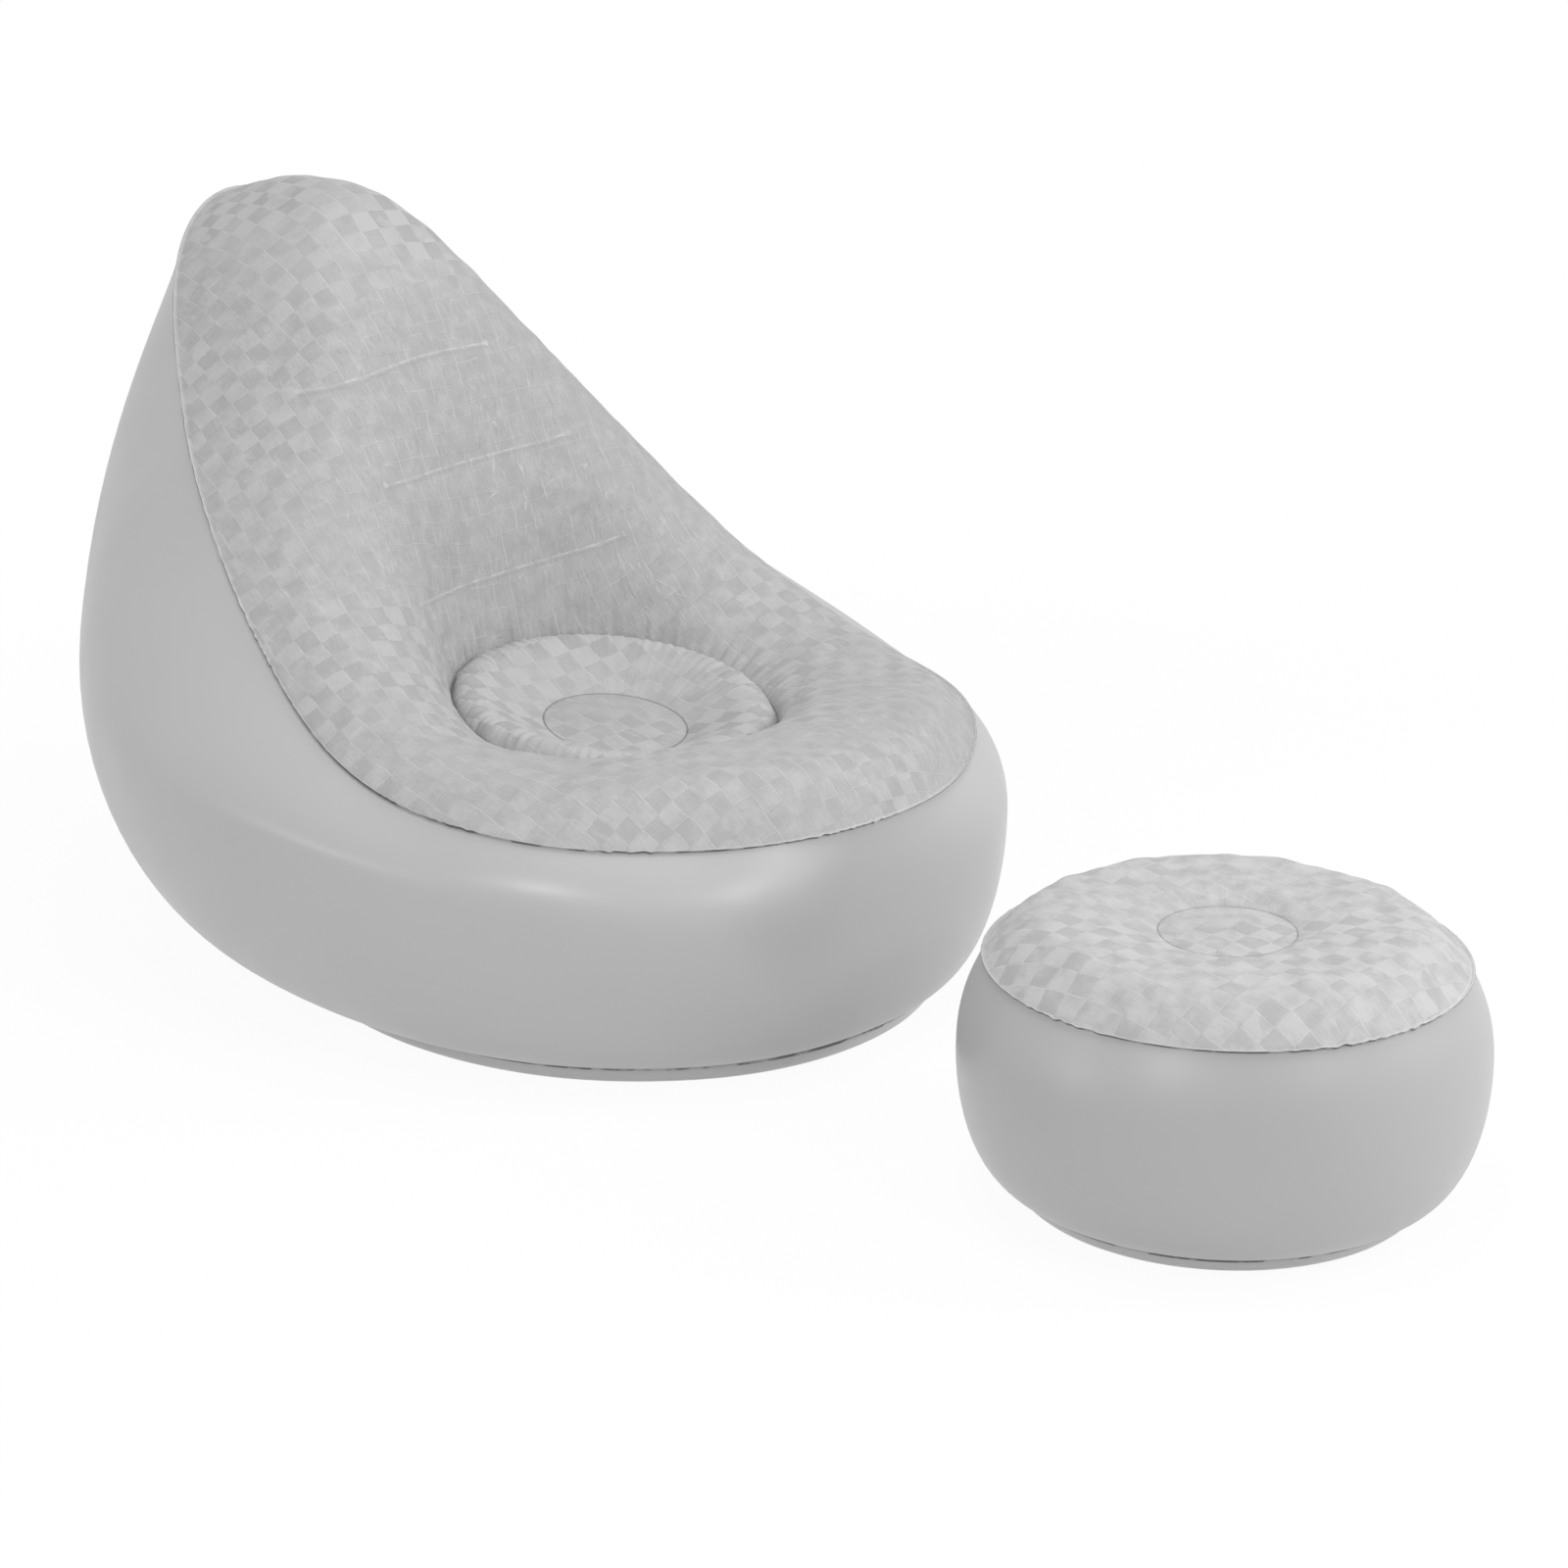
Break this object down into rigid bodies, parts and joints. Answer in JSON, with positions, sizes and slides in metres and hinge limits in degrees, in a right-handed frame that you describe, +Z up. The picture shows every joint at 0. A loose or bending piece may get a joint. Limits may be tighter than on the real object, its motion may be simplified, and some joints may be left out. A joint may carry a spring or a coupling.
{
  "type": "inflatable chair",
  "caption": "Inflatable lounge chair with a high curved back, a round seat well and a flocked top, and its round inflatable footrest.",
  "frame": {"origin": "on the floor under the centre of the seat disc, in the flat base of the chair", "axes": "+Z up, the chair faces -Y with the footrest in front of it, +X to the right of someone who looks at the back from the footrest; the shape is symmetric about X = 0"},
  "size_m": [0.9918, 1.9386, 0.8581],
  "materials": {
    "satin_vinyl": "satin PVC sheet",
    "flocked_vinyl": "PVC sheet with a short flock, embossed in a two-tone checker",
    "band_vinyl": "plain PVC sheet",
    "valve_plastic": "moulded soft PVC"
  },
  "bodies": {
    "chair": {"chair_side_wall": "satin_vinyl", "chair_base_panel": "satin_vinyl", "chair_lounge_panel": "flocked_vinyl", "chair_seat_ring_pad": "flocked_vinyl", "chair_seat_disc": "flocked_vinyl", "chair_seat_ring_band": "band_vinyl", "chair_seat_disc_band": "band_vinyl", "chair_back_tie_band_lower": "band_vinyl", "chair_back_tie_band_middle": "band_vinyl", "chair_back_tie_band_upper": "band_vinyl", "chair_valve_base": "valve_plastic"},
    "chair_valve_plug": {"chair_valve_plug": "valve_plastic"},
    "chair_valve_stopper": {"chair_valve_stopper": "valve_plastic"},
    "chair_valve_flap": {"chair_valve_flap": "valve_plastic"},
    "ottoman": {"ottoman_side_wall": "satin_vinyl", "ottoman_base_panel": "satin_vinyl", "ottoman_top_panel": "flocked_vinyl", "ottoman_disc": "flocked_vinyl", "ottoman_disc_band": "band_vinyl", "ottoman_valve_base": "valve_plastic"},
    "ottoman_valve_stopper": {"ottoman_valve_stopper": "valve_plastic"}
  },
  "joints": [
    {"name": "chair_valve_plug_hinge", "type": "hinge", "parent": "chair", "child": "chair_valve_plug", "pos_m": [0, 0.77248, 0.46429], "axis": [1, 0, 0], "range_deg": [0, 95]},
    {"name": "chair_valve_stopper_hinge", "type": "hinge", "parent": "chair_valve_plug", "child": "chair_valve_stopper", "pos_m": [0, 0.77456, 0.45642], "axis": [1, 0, 0], "range_deg": [0, 95]},
    {"name": "chair_valve_flap_hinge", "type": "hinge", "parent": "chair_valve_plug", "child": "chair_valve_flap", "pos_m": [0, 0.76714, 0.45237], "axis": [-1, 0, 0], "range_deg": [0, 40], "stiffness_Nm_per_rad": 0.00005},
    {"name": "ottoman_floor_slide", "type": "slide", "parent": "chair", "child": "ottoman", "axis": [0, -1, 0], "range_m": [-0.15, 0.4]},
    {"name": "ottoman_valve_stopper_hinge", "type": "hinge", "parent": "ottoman", "child": "ottoman_valve_stopper", "pos_m": [0, -0.62027, 0.17849], "axis": [1, 0, 0], "range_deg": [0, 110]}
  ]
}
